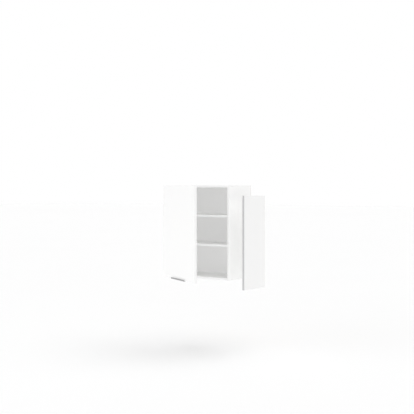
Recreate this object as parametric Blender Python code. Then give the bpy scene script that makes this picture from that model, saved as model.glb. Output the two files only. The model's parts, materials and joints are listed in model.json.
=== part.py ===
"""Hanging wall cabinet: a board carcass with two shelves, one full-width door on concealed hinges,
two adjustable hangers and a loose cover panel for the right side.

Metres. +X is right and +Y is back towards the wall, both seen from the room, and +Z is up.
The origin is on the wall plane, midway between the hangers, at the height where their hooks bear.
"""

import math

import bmesh
import bpy
from mathutils import Matrix, Vector

# Carcass
WIDTH = 0.600
HEIGHT = 0.700
DEPTH = 0.300
BOARD = 0.016
BACK_THICKNESS = 0.003
BACK_INSET = 0.001
GAP = 0.0003
TOP_ABOVE_HOOKS = 0.045

# Shelves, measured up from the carcass's underside
UPPER_SHELF = 0.463
LOWER_SHELF = 0.2455
SHELF_SETBACK = 0.015
SHELF_END_CLEARANCE = 0.001
PIN_R = 0.0025
PIN_IN_BOARD = 0.008
PIN_OUT = 0.008
PIN_ROWS = (0.037, 0.250)

# Screws that hold the carcass together
CONFIRMAT_ROWS = (0.037, 0.255)
CONFIRMAT_LENGTH = 0.050
CONFIRMAT_HEAD_R = 0.005
CONFIRMAT_HEAD = 0.003
CONFIRMAT_NECK_R = 0.0035
CONFIRMAT_CORE_R = 0.0025
CONFIRMAT_SUNK = 0.0015

# Door and its hinges. The pivot stands for the hinges' linkage.
DOOR_HINGE_REVEAL = 0.002
DOOR_FREE_REVEAL = 0.0005
DOOR_END_REVEAL = 0.0005
DOOR_GAP = 0.003
DOOR_OPEN = math.radians(30)
PIVOT_IN = 0.009
PIVOT_OUT = 0.011
HINGE_FROM_END = 0.100
CUP_R = 0.0172
CUP_FROM_EDGE = 0.0205
CUP_DEPTH = 0.0122
FLANGE = 0.0012
CUP_SCREW_SPACING = 0.048
PLATE_SCREW_SPACING = 0.032
PLATE_SETBACK = 0.037
SCREW_R = 0.0018
SCREW_HOLE_R = 0.0023
SCREW_HEAD_R = 0.0036
ARM_EYE_R = 0.0022
ARM_METAL = 0.002
ARM_LEG_IN = 0.011
ARM_LENGTH = 0.066
ARM_HALF_WIDTH = 0.0035
ARM_BOX_HALF_WIDTH = 0.0075
ARM_BOX_FROM_PIN = 0.020
PLATE_HALF_WIDTH = 0.006
PLATE_WING = 0.023
PLATE_WING_THICKNESS = 0.0018
BUMPER_R = 0.004
BUMPER_THICKNESS = 0.0012

# Edge pull along the door's lower edge
PULL_LENGTH = 0.250
PULL_METAL = 0.0018
PULL_LIP = 0.010
PULL_PROJECTION = 0.008
PULL_FLANGE = 0.022
PULL_SCREWS = (-0.096, 0.096)
PULL_SCREW_UP = 0.013
PULL_SCREW_R = 0.0015
PULL_SCREW_LENGTH = 0.012
PULL_HEAD_R = 0.0030
PULL_HEAD = 0.0009

# Hangers in the upper rear corners
HANGER_WIDTH = 0.038
HANGER_HEIGHT = 0.056
HANGER_DEPTH = 0.018
HOOK_METAL = 0.0025
HOOK_WIDTH = 0.020
HOOK_LIP = 0.012
HOOK_IN_HOUSING = 0.012
HOOK_TO_WALL = 0.001
PLATE_ROOM = 0.009
HANGER_SCREWS = {"height": 0.016, "depth": -0.012}
HANGER_SCREW_R = 0.0032
CROSS_SLOT_HALF = 0.0004
CROSS_SLOT_REACH = 0.0021

# Loose cover panel and where it waits beside the cabinet
COVER_HEIGHT = 0.688
COVER_DEPTH = 0.287
COVER_ASIDE = 0.1073
COVER_BEHIND = 0.0130
COVER_BELOW = 0.071
COVER_BAND = 0.001

ROUND = 16

TOP = TOP_ABOVE_HOOKS
BOTTOM = TOP - HEIGHT
FRONT = -DEPTH
REAR = -BACK_THICKNESS - GAP
OUTER = WIDTH / 2
INNER = OUTER - BOARD
PIVOT = Vector((-OUTER + PIVOT_IN, FRONT - PIVOT_OUT, (TOP + BOTTOM) / 2))
DOOR_BACK = FRONT - DOOR_GAP
DOOR_FRONT = DOOR_BACK - BOARD
DOOR_BOTTOM = BOTTOM + DOOR_END_REVEAL
DOOR_TOP = TOP - DOOR_END_REVEAL
DOOR_EDGE = -OUTER + DOOR_HINGE_REVEAL
DOOR_FREE_EDGE = OUTER - DOOR_FREE_REVEAL
HINGE_HEIGHTS = {"upper": TOP - HINGE_FROM_END, "lower": BOTTOM + HINGE_FROM_END}

TURN_TO = {
    "+X": Matrix.Rotation(math.pi / 2, 4, "Y"),
    "-X": Matrix.Rotation(-math.pi / 2, 4, "Y"),
    "+Y": Matrix.Rotation(-math.pi / 2, 4, "X"),
    "-Y": Matrix.Rotation(math.pi / 2, 4, "X"),
    "+Z": Matrix.Identity(4),
}


def clear_scene():
    for obj in list(bpy.data.objects):
        bpy.data.objects.remove(obj, do_unlink=True)


def material(name, colour, roughness, metallic=0.0):
    made = bpy.data.materials.new(name)
    made.use_nodes = True
    shader = made.node_tree.nodes["Principled BSDF"]
    shader.inputs["Base Color"].default_value = (*colour, 1.0)
    shader.inputs["Roughness"].default_value = roughness
    shader.inputs["Metallic"].default_value = metallic
    return made


def add_object(name, bm, finish=None, parent=None, smooth=False):
    """Turns a bmesh given in world coordinates, closed-door ones for the door, into a named object."""
    mesh = bpy.data.meshes.new(name)
    if parent:
        bmesh.ops.translate(bm, verts=bm.verts, vec=-parent.location)
    bmesh.ops.recalc_face_normals(bm, faces=bm.faces)
    bm.to_mesh(mesh)
    bm.free()
    if smooth:
        mesh.shade_smooth()
        mesh.set_sharp_from_angle(angle=math.radians(35))
    obj = bpy.data.objects.new(name, mesh)
    bpy.context.scene.collection.objects.link(obj)
    obj.parent = parent
    if finish:
        mesh.materials.append(finish)
    return obj


def box_mesh(low, high, bevel=0.0):
    low, high = Vector(low), Vector(high)
    bm = bmesh.new()
    bmesh.ops.create_cube(bm, size=1.0)
    bmesh.ops.scale(bm, vec=high - low, verts=bm.verts)
    bmesh.ops.translate(bm, vec=(low + high) / 2, verts=bm.verts)
    if bevel:
        bmesh.ops.bevel(bm, geom=bm.edges, offset=bevel, segments=1, profile=0.5, affect="EDGES")
    return bm


def turned_mesh(profile, at, along="+Z", sides=ROUND):
    """A round piece: profile is (radius, distance) pairs from its base to its tip, on the axis through at."""
    bm = bmesh.new()
    verts = [bm.verts.new((0.0, 0.0, profile[0][1]))]
    verts += [bm.verts.new((radius, 0.0, distance)) for radius, distance in profile]
    verts += [bm.verts.new((0.0, 0.0, profile[-1][1]))]
    edges = [bm.edges.new(pair) for pair in zip(verts, verts[1:])]
    bmesh.ops.spin(
        bm, geom=verts + edges, axis=(0, 0, 1), cent=(0, 0, 0), angle=2 * math.pi, steps=sides, use_merge=True
    )
    bmesh.ops.remove_doubles(bm, verts=bm.verts, dist=1e-6)
    bmesh.ops.transform(bm, matrix=Matrix.Translation(at) @ TURN_TO[along], verts=bm.verts)
    return bm


def outline_mesh(points, low, high, axis):
    """A flat outline pushed along one axis: its points give the other two coordinates, in X, Y, Z order."""
    bm = bmesh.new()
    corners = []
    for point in points:
        place = list(point)
        place.insert(axis, low)
        corners.append(bm.verts.new(place))
    face = bm.faces.new(corners)
    grown = bmesh.ops.extrude_face_region(bm, geom=[face])["geom"]
    push = Vector((0, 0, 0))
    push[axis] = high - low
    bmesh.ops.translate(bm, vec=push, verts=[v for v in grown if isinstance(v, bmesh.types.BMVert)])
    return bm


def merged(*meshes):
    """One bmesh holding several loose shapes, for a cutter that makes several holes at once."""
    whole = bmesh.new()
    for bm in meshes:
        part = bpy.data.meshes.new("part")
        bmesh.ops.recalc_face_normals(bm, faces=bm.faces)
        bm.to_mesh(part)
        bm.free()
        whole.from_mesh(part)
        bpy.data.meshes.remove(part)
    return whole


def helper(name, bm, parent=None):
    obj = add_object(name, bm, parent=parent)
    obj.hide_render = True
    obj.display_type = "WIRE"
    return obj


def boolean(obj, bm, operation="DIFFERENCE"):
    """Cuts a bmesh from an object, or joins it on, with a live EXACT Boolean."""
    number = len(obj.modifiers) + 1
    other = helper(f"{obj.name}_{operation.lower()}_{number}", bm, obj.parent)
    modifier = obj.modifiers.new(f"{operation.lower()} {number}", "BOOLEAN")
    modifier.operation = operation
    modifier.solver = "EXACT"
    modifier.object = other


def hole(radius, at, along, depth):
    """A cutter for a round hole that starts just outside the face at the point and runs in."""
    return turned_mesh([(radius, -0.001), (radius, depth)], at, along)


clear_scene()

melamine = material("white melamine", (0.90, 0.90, 0.895), 0.45)
hardboard = material("white hardboard", (0.86, 0.86, 0.85), 0.60)
edge_band = material("grey edge band", (0.45, 0.45, 0.46), 0.50)
zinc = material("zinc plated steel", (0.72, 0.73, 0.74), 0.35, 1.0)
nickel = material("nickel plated steel", (0.66, 0.65, 0.62), 0.28, 1.0)
aluminium = material("satin aluminium", (0.40, 0.40, 0.41), 0.40, 1.0)
white_plastic = material("white plastic", (0.86, 0.86, 0.84), 0.50)
clear_rubber = material("clear rubber", (0.80, 0.80, 0.80), 0.30)

door_axis = bpy.data.objects.new("door_axis", None)
door_axis.location = PIVOT
door_axis.rotation_euler.z = -DOOR_OPEN
cover_place = bpy.data.objects.new("cover_place", None)
cover_place.location = (
    OUTER + GAP + COVER_ASIDE,
    FRONT + COVER_BEHIND,
    BOTTOM + (HEIGHT - COVER_HEIGHT) / 2 - COVER_BELOW,
)
for empty in (door_axis, cover_place):
    bpy.context.scene.collection.objects.link(empty)


def from_front(distance):
    return FRONT + distance


def confirmat_places(side):
    """Name and centre of each carcass screw's head on one side's outer face."""
    for level, z in (("top", TOP - BOARD / 2), ("bottom", BOTTOM + BOARD / 2)):
        for row, distance in zip(("front", "rear"), CONFIRMAT_ROWS):
            yield f"{level}_{row}", Vector((side * OUTER, from_front(distance), z))


def shelf_pin_places(side, shelf_height):
    for row, distance in zip(("front", "rear"), PIN_ROWS):
        z = BOTTOM + shelf_height - GAP - PIN_R
        yield row, Vector((side * INNER, from_front(distance), z))


def plate_screw_places(height):
    for word, sign in (("above", 1), ("below", -1)):
        offset = sign * PLATE_SCREW_SPACING / 2
        yield word, Vector((-INNER, from_front(PLATE_SETBACK), height + offset))


def make_sides():
    for word, side in (("left", -1), ("right", 1)):
        inwards = "+X" if side < 0 else "-X"
        outwards = "-X" if side < 0 else "+X"
        across = sorted((side * INNER, side * OUTER))
        board = add_object(
            f"{word}_side_panel", box_mesh((across[0], FRONT, BOTTOM), (across[1], REAR, TOP)), melamine
        )
        cutters = []
        for _, head in confirmat_places(side):
            bore = [
                (CONFIRMAT_HEAD_R + GAP, -0.001),
                (CONFIRMAT_HEAD_R + GAP, CONFIRMAT_SUNK + CONFIRMAT_HEAD + GAP),
                (CONFIRMAT_NECK_R + GAP, CONFIRMAT_SUNK + CONFIRMAT_HEAD + GAP),
                (CONFIRMAT_NECK_R + GAP, BOARD + 0.001),
            ]
            cutters.append(turned_mesh(bore, head, inwards))
        for shelf_height in (UPPER_SHELF, LOWER_SHELF):
            for _, place in shelf_pin_places(side, shelf_height):
                cutters.append(hole(PIN_R + GAP, place, outwards, PIN_IN_BOARD + 2 * GAP))
        if side < 0:
            for height in HINGE_HEIGHTS.values():
                for _, place in plate_screw_places(height):
                    cutters.append(hole(SCREW_R + GAP, place, outwards, 0.012))
        boolean(board, merged(*cutters))


def make_top_and_bottom():
    for word, low in (("top", TOP - BOARD), ("bottom", BOTTOM)):
        end = INNER - GAP
        board = add_object(f"{word}_panel", box_mesh((-end, FRONT, low), (end, REAR, low + BOARD)), melamine)
        cutters = []
        for side, outwards in ((-1, "+X"), (1, "-X")):
            for name, head in confirmat_places(side):
                if name.startswith(word):
                    start = Vector((side * end, head.y, head.z))
                    depth = CONFIRMAT_LENGTH - BOARD + 0.004
                    cutters.append(hole(CONFIRMAT_CORE_R + GAP, start, outwards, depth))
        boolean(board, merged(*cutters))


def make_confirmats():
    profile = [
        (CONFIRMAT_HEAD_R, 0.0),
        (CONFIRMAT_HEAD_R, CONFIRMAT_HEAD),
        (CONFIRMAT_NECK_R, CONFIRMAT_HEAD),
        (CONFIRMAT_NECK_R, BOARD - CONFIRMAT_SUNK - 0.001),
        (CONFIRMAT_CORE_R, BOARD - CONFIRMAT_SUNK - 0.001),
        (CONFIRMAT_CORE_R, CONFIRMAT_LENGTH - 0.004),
        (0.001, CONFIRMAT_LENGTH),
    ]
    for word, side, inwards in (("left", -1, "+X"), ("right", 1, "-X")):
        for name, head in confirmat_places(side):
            start = head - Vector((side * CONFIRMAT_SUNK, 0, 0))
            screw = turned_mesh(profile, start, inwards)
            add_object(f"carcass_screw_{word}_{name}", screw, zinc, smooth=True)


def hanger_centre(side):
    return side * (INNER - GAP - HANGER_WIDTH / 2)


def make_back():
    edge = OUTER - BACK_INSET
    low, high = BOTTOM + BACK_INSET, TOP - BACK_INSET
    back = add_object("back_panel", box_mesh((-edge, -BACK_THICKNESS, low), (edge, 0, high)), hardboard)
    windows = []
    for side in (-1, 1):
        middle = hanger_centre(side)
        half = HOOK_WIDTH / 2 + 0.005
        windows.append(box_mesh((middle - half, -0.005, -0.022), (middle + half, 0.002, 0.010)))
    boolean(back, merged(*windows))


def make_shelves():
    end = INNER - SHELF_END_CLEARANCE
    for word, height in (("upper", UPPER_SHELF), ("lower", LOWER_SHELF)):
        low = BOTTOM + height
        shape = box_mesh((-end, FRONT + SHELF_SETBACK, low), (end, REAR - 0.001, low + BOARD))
        add_object(f"{word}_shelf", shape, melamine)
        for name, side, outwards in (("left", -1, "-X"), ("right", 1, "+X")):
            for row, place in shelf_pin_places(side, height):
                profile = [(PIN_R - 0.0006, -PIN_OUT), (PIN_R, -PIN_OUT + 0.0006), (PIN_R, PIN_IN_BOARD)]
                pin = turned_mesh(profile, place, outwards)
                add_object(f"shelf_pin_{word}_{name}_{row}", pin, nickel, smooth=True)


def make_door():
    panel = add_object(
        "door_panel",
        box_mesh((DOOR_EDGE, DOOR_FRONT, DOOR_BOTTOM), (DOOR_FREE_EDGE, DOOR_BACK, DOOR_TOP)),
        melamine,
        door_axis,
    )
    cutters = []
    for height in HINGE_HEIGHTS.values():
        cup = Vector((DOOR_EDGE + CUP_FROM_EDGE, DOOR_BACK, height))
        cutters.append(turned_mesh([(CUP_R + GAP, -0.001), (CUP_R + GAP, CUP_DEPTH + GAP)], cup, "-Y", 32))
        for _, place in cup_screw_places(height):
            cutters.append(hole(SCREW_R + GAP, place, "-Y", 0.0105))
    for x in PULL_SCREWS:
        place = Vector((x, DOOR_BACK, DOOR_BOTTOM + PULL_SCREW_UP))
        cutters.append(hole(PULL_SCREW_R + GAP, place, "-Y", PULL_SCREW_LENGTH))
    boolean(panel, merged(*cutters))
    for word, z in (("upper", DOOR_TOP - 0.012), ("lower", DOOR_BOTTOM + 0.012)):
        place = Vector((DOOR_FREE_EDGE - 0.010, DOOR_BACK + GAP, z))
        profile = [(BUMPER_R, 0.0), (BUMPER_R - 0.0008, BUMPER_THICKNESS)]
        bumper = turned_mesh(profile, place, "+Y")
        add_object(f"door_bumper_{word}", bumper, clear_rubber, door_axis, smooth=True)


def cup_screw_places(height):
    for word, sign in (("above", 1), ("below", -1)):
        x = DOOR_EDGE + CUP_FROM_EDGE + 0.0095
        yield word, Vector((x, DOOR_BACK, height + sign * CUP_SCREW_SPACING / 2))


def make_hinge(word, height):
    """Cup and pin in the door; arm and mounting plate on the left side. The arm's crank turns in the cup."""
    centre = Vector((DOOR_EDGE + CUP_FROM_EDGE, DOOR_BACK, height))
    cup_bottom = DOOR_BACK - CUP_DEPTH
    flange_low, flange_high = DOOR_BACK + GAP, DOOR_BACK + GAP + FLANGE
    drum = [(CUP_R, 0.0), (CUP_R, CUP_DEPTH + GAP + FLANGE)]
    round_cup = turned_mesh(drum, Vector((centre.x, cup_bottom, height)), "+Y", 32)
    cup = add_object(f"hinge_cup_{word}", round_cup, nickel, door_axis, smooth=True)
    ears = box_mesh(
        (centre.x + 0.003, flange_low, height - 0.030), (centre.x + 0.016, flange_high, height + 0.030)
    )
    boolean(cup, ears, "UNION")
    pocket = box_mesh(
        (PIVOT.x - 0.0026, cup_bottom + 0.0012, height - 0.005),
        (PIVOT.x + 0.016, flange_high + 0.001, height + 0.005),
    )
    pin_hole = turned_mesh([(0.0010, -0.0065), (0.0010, 0.0065)], Vector((PIVOT.x, PIVOT.y, height)))
    above_flange = Vector((0, 0.003, 0))
    places = list(cup_screw_places(height))
    boolean(cup, merged(*(hole(SCREW_HOLE_R, place + above_flange, "-Y", 0.004) for _, place in places)))
    boolean(cup, pocket)
    boolean(cup, pin_hole)

    pin = turned_mesh([(0.0007, -0.0062), (0.0007, 0.0062)], Vector((PIVOT.x, PIVOT.y, height)))
    add_object(f"hinge_pin_{word}", pin, zinc, door_axis, smooth=True)

    screw = pan_head_screw(0.0098)
    for name, place in places:
        head = Vector((place.x, flange_high + GAP, place.z))
        add_object(f"cup_screw_{word}_{name}", turned_mesh(screw, head, "+Y"), zinc, door_axis, smooth=True)

    make_arm(word, height)
    make_plate(word, height)


def pan_head_screw(length):
    edge, dome = 0.0008, 0.0019
    return [(SCREW_R, -length), (SCREW_R, 0.0), (SCREW_HEAD_R, 0.0), (SCREW_HEAD_R, edge), (0.0022, dome)]


def make_arm(word, height):
    """A 2 mm strip: an eye on the pin, a leg inside the cup and a leg back along the mounting plate."""
    half = ARM_METAL / 2
    leg_out = ARM_LEG_IN + ARM_METAL
    start = math.asin(half / ARM_EYE_R)
    steps = 10
    outline = []
    for step in range(steps + 1):
        angle = start + (2 * math.pi - 2 * start) * step / steps
        outline.append((PIVOT.x + ARM_EYE_R * math.cos(angle), PIVOT.y + ARM_EYE_R * math.sin(angle)))
    outline += [
        (PIVOT.x + leg_out, PIVOT.y - half),
        (PIVOT.x + leg_out, PIVOT.y + ARM_LENGTH),
        (PIVOT.x + ARM_LEG_IN, PIVOT.y + ARM_LENGTH),
        (PIVOT.x + ARM_LEG_IN, PIVOT.y + half),
    ]
    strip = outline_mesh(outline, height - ARM_HALF_WIDTH, height + ARM_HALF_WIDTH, 2)
    arm = add_object(f"hinge_arm_{word}", strip, nickel, smooth=True)
    low = (PIVOT.x + ARM_LEG_IN + 0.0002, PIVOT.y + ARM_BOX_FROM_PIN, height - ARM_BOX_HALF_WIDTH)
    high = (PIVOT.x + leg_out + 0.0045, PIVOT.y + ARM_LENGTH - 0.002, height + ARM_BOX_HALF_WIDTH)
    boolean(arm, box_mesh(low, high, bevel=0.0012), "UNION")
    boolean(arm, turned_mesh([(0.0010, -0.005), (0.0010, 0.005)], Vector((PIVOT.x, PIVOT.y, height))))


def make_plate(word, height):
    """The winged plate screwed to the side, under the arm."""
    face = -INNER + GAP
    middle = from_front(PLATE_SETBACK)
    top = PIVOT.x + ARM_LEG_IN - GAP
    half, wing_top = PLATE_HALF_WIDTH, face + PLATE_WING_THICKNESS
    block = box_mesh((face, middle - 0.016, height - half), (top, middle + 0.018, height + half))
    plate = add_object(f"hinge_plate_{word}", block, nickel, smooth=True)
    wing_low = (face, middle - half, height - PLATE_WING)
    wings = box_mesh(wing_low, (wing_top, middle + half, height + PLATE_WING))
    boolean(plate, wings, "UNION")
    places = list(plate_screw_places(height))
    boolean(plate, merged(*(hole(SCREW_HOLE_R, place, "+X", 0.004) for _, place in places)))
    screw = pan_head_screw(0.0115)
    for name, place in places:
        head = Vector((wing_top + GAP, place.y, place.z))
        add_object(f"plate_screw_{word}_{name}", turned_mesh(screw, head, "+X"), zinc, smooth=True)


def make_edge_pull():
    """A bent aluminium section: flange behind the door, web under its lower edge, lip in front of it."""
    inside = DOOR_BOTTOM - GAP
    under = inside - PULL_METAL
    back_in, back_out = DOOR_BACK + GAP, DOOR_BACK + GAP + PULL_METAL
    lip_out = DOOR_FRONT - PULL_PROJECTION
    lip_in = lip_out + PULL_METAL
    section = [
        (back_out, under),
        (back_out, under + PULL_FLANGE),
        (back_in, under + PULL_FLANGE),
        (back_in, inside),
        (lip_in, inside),
        (lip_in, under + PULL_LIP),
        (lip_out, under + PULL_LIP),
        (lip_out, under + 0.0006),
        (lip_out + 0.0006, under),
    ]
    half = PULL_LENGTH / 2
    pull = add_object("door_handle", outline_mesh(section, -half, half, 0), aluminium, door_axis)
    places = [Vector((x, back_out, DOOR_BOTTOM + PULL_SCREW_UP)) for x in PULL_SCREWS]
    countersink = [
        (PULL_HEAD_R + GAP, -0.001),
        (PULL_HEAD_R + GAP, PULL_HEAD + GAP),
        (PULL_SCREW_R + GAP, PULL_HEAD + GAP),
        (PULL_SCREW_R + GAP, PULL_METAL + 0.001),
    ]
    boolean(pull, merged(*(turned_mesh(countersink, place, "-Y") for place in places)))
    screw = [
        (PULL_HEAD_R, 0.0),
        (PULL_HEAD_R, PULL_HEAD),
        (PULL_SCREW_R, PULL_HEAD),
        (PULL_SCREW_R, PULL_SCREW_LENGTH),
    ]
    for word, head in zip(("left", "right"), places):
        add_object(f"handle_screw_{word}", turned_mesh(screw, head, "-Y"), zinc, door_axis, smooth=True)


def make_hangers():
    """Each hanger: a housing in the corner, a hook for the wall plate, a height screw and a depth screw."""
    rear = -HOOK_METAL - HOOK_TO_WALL - PLATE_ROOM
    front = rear - HANGER_DEPTH
    for word, side in (("left", -1), ("right", 1)):
        middle = hanger_centre(side)
        half = HANGER_WIDTH / 2
        high = TOP - BOARD - GAP
        low_corner = (middle - half, front, high - HANGER_HEIGHT)
        housing_mesh = box_mesh(low_corner, (middle + half, rear, high), bevel=0.0015)
        housing = add_object(f"hanger_housing_{word}", housing_mesh, white_plastic)
        reach = HOOK_WIDTH / 2
        slot_half = reach + GAP
        slot = box_mesh(
            (middle - slot_half, rear - HOOK_IN_HOUSING - 0.0005, -GAP),
            (middle + slot_half, rear + 0.001, HOOK_METAL + GAP),
        )
        well_r = HANGER_SCREW_R + GAP
        wells = [hole(well_r, Vector((middle, front, z)), "+Y", 0.0045) for z in HANGER_SCREWS.values()]
        boolean(housing, merged(slot, *wells))
        tail, lip = rear - HOOK_IN_HOUSING, -HOOK_TO_WALL
        section = [
            (tail, 0.0),
            (lip - HOOK_METAL, 0.0),
            (lip - HOOK_METAL, -HOOK_LIP),
            (lip, -HOOK_LIP),
            (lip, HOOK_METAL),
            (tail, HOOK_METAL),
        ]
        add_object(f"hanger_hook_{word}", outline_mesh(section, middle - reach, middle + reach, 0), zinc)
        for name, z in HANGER_SCREWS.items():
            place = Vector((middle, front + 0.0005, z))
            head = turned_mesh([(HANGER_SCREW_R, 0.0), (HANGER_SCREW_R, 0.0035)], place, "+Y")
            screw = add_object(f"hanger_{name}_screw_{word}", head, zinc, smooth=True)
            boolean(screw, cross_bar(place, CROSS_SLOT_HALF, CROSS_SLOT_REACH))
            boolean(screw, cross_bar(place, CROSS_SLOT_REACH, CROSS_SLOT_HALF))


def cross_bar(place, half_x, half_z):
    low = place + Vector((-half_x, -0.001, -half_z))
    return box_mesh(low, place + Vector((half_x, 0.0015, half_z)))


def make_cover_panel():
    """Two pieces, the board and the grey band on its front edge, parented to the place where they wait."""
    x, y, z = cover_place.location
    band_back = y + COVER_BAND
    board = box_mesh((x, band_back + GAP, z), (x + BOARD, y + COVER_DEPTH, z + COVER_HEIGHT))
    add_object("cover_panel", board, melamine, cover_place)
    band = box_mesh((x, y, z), (x + BOARD, band_back, z + COVER_HEIGHT))
    add_object("cover_panel_edge_band", band, edge_band, cover_place)


make_sides()
make_top_and_bottom()
make_confirmats()
make_back()
make_shelves()
make_door()
for hinge, hinge_height in HINGE_HEIGHTS.items():
    make_hinge(hinge, hinge_height)
make_edge_pull()
make_hangers()
make_cover_panel()
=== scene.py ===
"""Looks for the hanging wall cabinet, made piece by piece in the order that a fitter puts it together.

Metres, in the frame's own axes: +X is right and +Y is back into the wall, both seen from the room, and
+Z is up. The door is open at rest, so its pieces are made as if it were shut and then swung to rest.
"""

import json
import math

import bmesh
import bpy
from mathutils import Matrix, Vector


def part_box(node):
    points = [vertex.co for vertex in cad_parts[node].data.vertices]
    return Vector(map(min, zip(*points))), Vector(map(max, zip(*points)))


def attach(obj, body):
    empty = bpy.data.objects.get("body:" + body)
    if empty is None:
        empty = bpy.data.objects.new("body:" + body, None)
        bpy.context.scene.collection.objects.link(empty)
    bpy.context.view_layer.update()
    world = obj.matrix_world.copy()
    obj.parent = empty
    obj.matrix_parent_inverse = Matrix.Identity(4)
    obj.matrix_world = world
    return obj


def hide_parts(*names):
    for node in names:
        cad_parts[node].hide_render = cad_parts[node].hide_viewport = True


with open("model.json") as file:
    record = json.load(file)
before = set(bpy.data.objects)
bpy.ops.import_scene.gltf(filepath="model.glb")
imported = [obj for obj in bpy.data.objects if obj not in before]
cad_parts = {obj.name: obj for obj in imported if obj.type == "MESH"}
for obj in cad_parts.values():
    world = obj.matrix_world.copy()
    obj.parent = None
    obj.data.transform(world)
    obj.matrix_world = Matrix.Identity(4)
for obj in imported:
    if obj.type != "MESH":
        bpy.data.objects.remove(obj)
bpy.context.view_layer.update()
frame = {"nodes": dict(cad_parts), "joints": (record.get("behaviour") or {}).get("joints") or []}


# ---- Viewpoint ----
# A level camera stands to the right of the cabinet, nearly seven metres off, at the height of its hooks.
# The cabinet fills little of the view, and the lens is shifted down to take in the floor under it.

camera = bpy.data.objects.new("viewpoint", bpy.data.cameras.new("viewpoint"))
camera.location = (3.79392, -5.52409, 0.00098)
camera.rotation_euler = (math.radians(90), 0, math.radians(35.25))
camera.data.sensor_width = 36.0
camera.data.lens = 74.496
camera.data.shift_y = -0.037995
camera.data.clip_end = 200.0
bpy.context.scene.collection.objects.link(camera)
bpy.context.scene.camera = camera


# ---- Studio ----
# The cabinet hangs in a white studio, half a metre over a pale matt floor. A faint dome lights it from
# all round, soft lamps give the shapes their shade, and fill lamps without shadows keep the inside of
# the carcass and the gap beside the cover panel bright.

FLOOR_LEVEL = -1.21
FLOOR_REACH = 60.0
DOME_SEEN = 1.0
DOME_LIGHT = 0.56


class Wire:
    """One socket in a finish. Arithmetic on wires and numbers adds the Math nodes that work it out."""

    def __init__(self, tree, socket):
        self.tree = tree
        self.socket = socket

    def node(self, kind, settings=None, sockets=None, output=0):
        """Adds any other node. Its settings are set first, then its sockets take values or wires."""
        made = self.tree.nodes.new("ShaderNode" + kind)
        for name, value in (settings or {}).items():
            if name == "stops":
                stops = made.color_ramp.elements
                stops.remove(stops[1])
                stops[0].position, stops[0].color = value[0][0], (*value[0][1], 1.0)
                for place, colour in value[1:]:
                    stops.new(place).color = (*colour, 1.0)
            else:
                setattr(made, name, value)
        for name, value in (sockets or {}).items():
            if isinstance(value, Wire):
                self.tree.links.new(value.socket, made.inputs[name])
            else:
                made.inputs[name].default_value = value
        return Wire(self.tree, made.outputs[output])

    def maths(self, operation, *terms):
        return self.node("Math", {"operation": operation}, dict(enumerate(terms)))

    def __add__(self, other):
        return self.maths("ADD", self, other)

    __radd__ = __add__

    def __sub__(self, other):
        return self.maths("SUBTRACT", self, other)

    def __rsub__(self, other):
        return self.maths("SUBTRACT", other, self)

    def __mul__(self, other):
        return self.maths("MULTIPLY", self, other)

    __rmul__ = __mul__

    def between(self, low, high):
        """The colour that runs from low to high as this wire runs from 0 to 1."""
        low, high = (c if isinstance(c, Wire) else (*c, 1.0) for c in (low, high))
        return self.node("Mix", {"data_type": "RGBA"}, {0: self, 6: low, 7: high}, 2)

    def also(self, output):
        """Another output of the node that this wire comes from."""
        return Wire(self.tree, self.socket.node.outputs[output])

    def aligned(self, angle, stretch=(1.0, 1.0, 1.0)):
        """Coordinates turned about the vertical, then stretched, so that a pattern follows its piece."""
        turn = self.node("Mapping", None, {"Vector": self, "Rotation": (0.0, 0.0, angle)})
        return turn.node("Mapping", None, {"Vector": turn, "Scale": stretch})

    def noise(self, grains_per_metre, detail=2.0, rough=0.5):
        """Cloudy noise of about 0 to 1 that reads this wire's coordinates."""
        sockets = {"Vector": self, "Scale": grains_per_metre, "Detail": detail, "Roughness": rough}
        return self.node("TexNoise", None, sockets)


def new_finish(name, **fixed):
    """A new material with its fixed shader values, and the wire of its object coordinates."""
    made = bpy.data.materials.new(name)
    made.use_nodes = True
    tree = made.node_tree
    shader = tree.nodes["Principled BSDF"]
    for socket, value in fixed.items():
        shader.inputs[socket.replace("_", " ").title().replace("Ior", "IOR")].default_value = value
    return made, Wire(tree, tree.nodes.new("ShaderNodeTexCoord").outputs["Object"])


def feed(made, colour=None, roughness=None, metallic=None, height=None, depth=0.0):
    """Joins a finish's wires to its shader. Height makes a bump of that depth in metres."""
    links, shader = made.node_tree.links, made.node_tree.nodes["Principled BSDF"]
    wires = {"Base Color": colour, "Roughness": roughness, "Metallic": metallic}
    if height:
        wires["Normal"] = height.node("Bump", None, {"Strength": 1.0, "Distance": depth, "Height": height})
    for name, wire in wires.items():
        if wire:
            links.new(wire.socket, shader.inputs[name])
    return made


floor_paint, place = new_finish("studio_floor", roughness=0.9, specular_ior_level=0.0)
feed(floor_paint, colour=place.noise(0.4).between((0.932, 0.932, 0.932), (0.942, 0.942, 0.942)))
bm = bmesh.new()
bmesh.ops.create_grid(bm, x_segments=1, y_segments=1, size=FLOOR_REACH)
bmesh.ops.translate(bm, verts=bm.verts, vec=(0.0, 0.0, FLOOR_LEVEL))
floor = bpy.data.objects.new("studio_floor", bpy.data.meshes.new("studio_floor"))
bm.to_mesh(floor.data)
bm.free()
floor.data.materials.append(floor_paint)
bpy.context.scene.collection.objects.link(floor)

world = bpy.data.worlds.new("white_dome")
world.use_nodes = True
background = world.node_tree.nodes["Background"]
background.inputs["Color"].default_value = (1.0, 1.0, 1.0, 1.0)
ray = Wire(world.node_tree, world.node_tree.nodes.new("ShaderNodeLightPath").outputs["Is Camera Ray"])
strength = DOME_LIGHT + (DOME_SEEN - DOME_LIGHT) * ray
world.node_tree.links.new(strength.socket, background.inputs["Strength"])
bpy.context.scene.world = world
bpy.context.scene.view_settings.view_transform = "Standard"

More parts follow.
